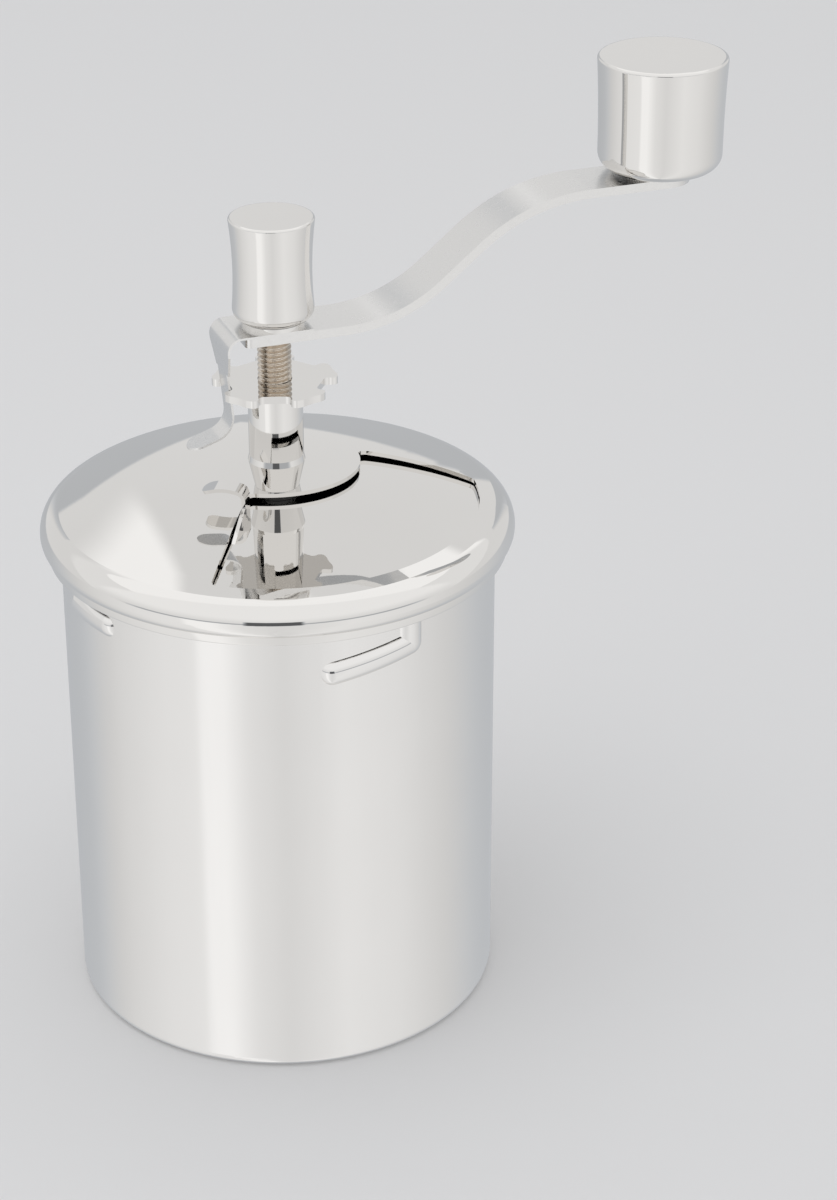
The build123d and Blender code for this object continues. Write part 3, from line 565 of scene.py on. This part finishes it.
def tones_behind(tree, side, depth, height):
    """The back of the tent: a backdrop between darker walls, a bright panel on each side and a ceiling."""
    back = math_node(tree, "MAXIMUM", depth, LEAST_DEPTH)
    across = math_node(tree, "DIVIDE", side, back)
    up = math_node(tree, "DIVIDE", height, back)
    aside = step(tree, math_node(tree, "ABSOLUTE", across), ASIDE_EDGE)
    across = math_node(tree, "MINIMUM", math_node(tree, "MAXIMUM", across, -ACROSS_LIMIT), ACROSS_LIMIT)
    over_left = above_line(tree, across, up, LEFT_LINE)
    over_right = above_line(tree, across, up, RIGHT_LINE)
    inside = step(tree, math_node(tree, "MINIMUM", over_left, over_right), WALL_EDGE)
    backdrop = blend(tree, inside, blend(tree, aside, WALL_TONE, BACKDROP_TONE), BACKDROP_TONE)
    fold = step(tree, above_line(tree, across, up, FOLD_LINE), LEFT_PANEL_FOLD)
    left_panel = math_node(tree, "MULTIPLY", step(tree, across, LEFT_PANEL_EDGE), fold)
    foot = step(tree, up, RIGHT_PANEL_FOOT)
    right_panel = math_node(tree, "MULTIPLY", step(tree, across, RIGHT_PANEL_EDGE), foot)
    panels = math_node(tree, "MAXIMUM", left_panel, right_panel)
    behind = blend(tree, panels, backdrop, blend(tree, aside, PANEL_TONE, SIDE_TONE))
    return math_node(tree, "MAXIMUM", behind, step(tree, height, CEILING_EDGE, 0.0, CEILING_TONE))


def tent_tones(tree, direction):
    """What the metal mirrors: paper below, the tent behind, a bright front, a dark horizon and the camera."""
    turn = add_node(tree, "ShaderNodeTexGradient", gradient_type="RADIAL")
    tree.links.new(direction, turn.inputs["Vector"])
    below = ramp(tree, turn.outputs["Fac"], AROUND_BELOW)
    axes = add_node(tree, "ShaderNodeSeparateXYZ")
    tree.links.new(direction, axes.inputs["Vector"])
    side, depth, height = axes.outputs
    front = step(tree, height, FRONT_RISE, FRONT_LOW_TONE, FRONT_TONE)
    behind = tones_behind(tree, side, depth, height)
    above = blend(tree, step(tree, depth, BACK_EDGE), front, behind)
    tones = blend(tree, step(tree, height, PAPER_EDGE), below, above)
    near = step(tree, depth, NEAR_EDGE)
    horizon = math_node(tree, "MULTIPLY", near, band(tree, height, HORIZON_RISE, HORIZON_FALL))
    tones = blend(tree, horizon, tones, HORIZON_TONE)
    narrow = step(tree, math_node(tree, "ABSOLUTE", side), CAMERA_SIDES, 1.0, 0.0)
    stand = math_node(tree, "MULTIPLY", narrow, band(tree, height, CAMERA_RISE, CAMERA_FALL))
    return blend(tree, math_node(tree, "MULTIPLY", near, stand), tones, CAMERA_TONE)


def choose_light(tree, share, first, second):
    """One light or another by a share."""
    node = add_node(tree, "ShaderNodeMixShader")
    tree.links.new(share, node.inputs["Fac"])
    tree.links.new(first, node.inputs[1])
    tree.links.new(second, node.inputs[2])
    return node.outputs["Shader"]


def studio_world():
    """Light tent: its tones in the metal, an even light on the rest and plain pale to the camera."""
    world = bpy.data.worlds.new("studio")
    bpy.context.scene.world = world
    world.use_nodes = True
    tree = world.node_tree
    tree.nodes.clear()
    direction = add_node(tree, "ShaderNodeTexCoord").outputs["Generated"]
    axes = add_node(tree, "ShaderNodeSeparateXYZ")
    tree.links.new(direction, axes.inputs["Vector"])
    light = add_node(tree, "ShaderNodeBackground")
    tree.links.new(ramp(tree, axes.outputs["Z"], EVEN_LIGHT), light.inputs["Color"])
    mirrored = add_node(tree, "ShaderNodeBackground")
    tones = tent_tones(tree, direction)
    shade = step(tree, tones, SHADE_EDGE, 1.0, 0.0)
    tree.links.new(blend_colours(tree, shade, LIGHT_TINT, SHADE_TINT), mirrored.inputs["Color"])
    tree.links.new(tones, mirrored.inputs["Strength"])
    seen = add_node(tree, "ShaderNodeBackground")
    seen.inputs["Color"].default_value = (*FLOOR_COLOUR, 1)
    ray = add_node(tree, "ShaderNodeLightPath").outputs
    backgrounds = (light.outputs["Background"], mirrored.outputs["Background"])
    on_object = choose_light(tree, ray["Is Glossy Ray"], *backgrounds)
    surface = choose_light(tree, ray["Is Camera Ray"], on_object, seen.outputs["Background"])
    output = add_node(tree, "ShaderNodeOutputWorld")
    tree.links.new(surface, output.inputs["Surface"])


def studio_lamp():
    """One large soft lamp above, which the metal does not mirror."""
    lamp = bpy.data.lights.new("overhead", "AREA")
    lamp.size = LAMP_SIZE
    lamp.energy = LAMP_POWER
    overhead = put_in_scene("overhead", lamp)
    overhead.location = LAMP_PLACE
    overhead.visible_glossy = False
    aim = overhead.constraints.new("TRACK_TO")
    aim.target = frame["bodies"]["canister"]
    aim.track_axis = "TRACK_NEGATIVE_Z"
    aim.up_axis = "UP_Y"


def photo_camera():
    """A camera where the photograph was taken from."""
    lens = bpy.data.cameras.new("photo_camera")
    lens.lens = CAMERA_LENS
    lens.sensor_width = CAMERA_SENSOR
    lens.clip_end = CAMERA_REACH
    camera = put_in_scene("photo_camera", lens)
    camera.location = CAMERA_PLACE
    camera.rotation_euler = (CAMERA_TILT, 0.0, 0.0)
    bpy.context.scene.camera = camera


finish_nodes()
threaded_spindle()
lid_skirt()
grinding_spring()
studio_floor()
studio_world()
studio_lamp()
photo_camera()
bpy.context.scene.view_settings.view_transform = "Standard"
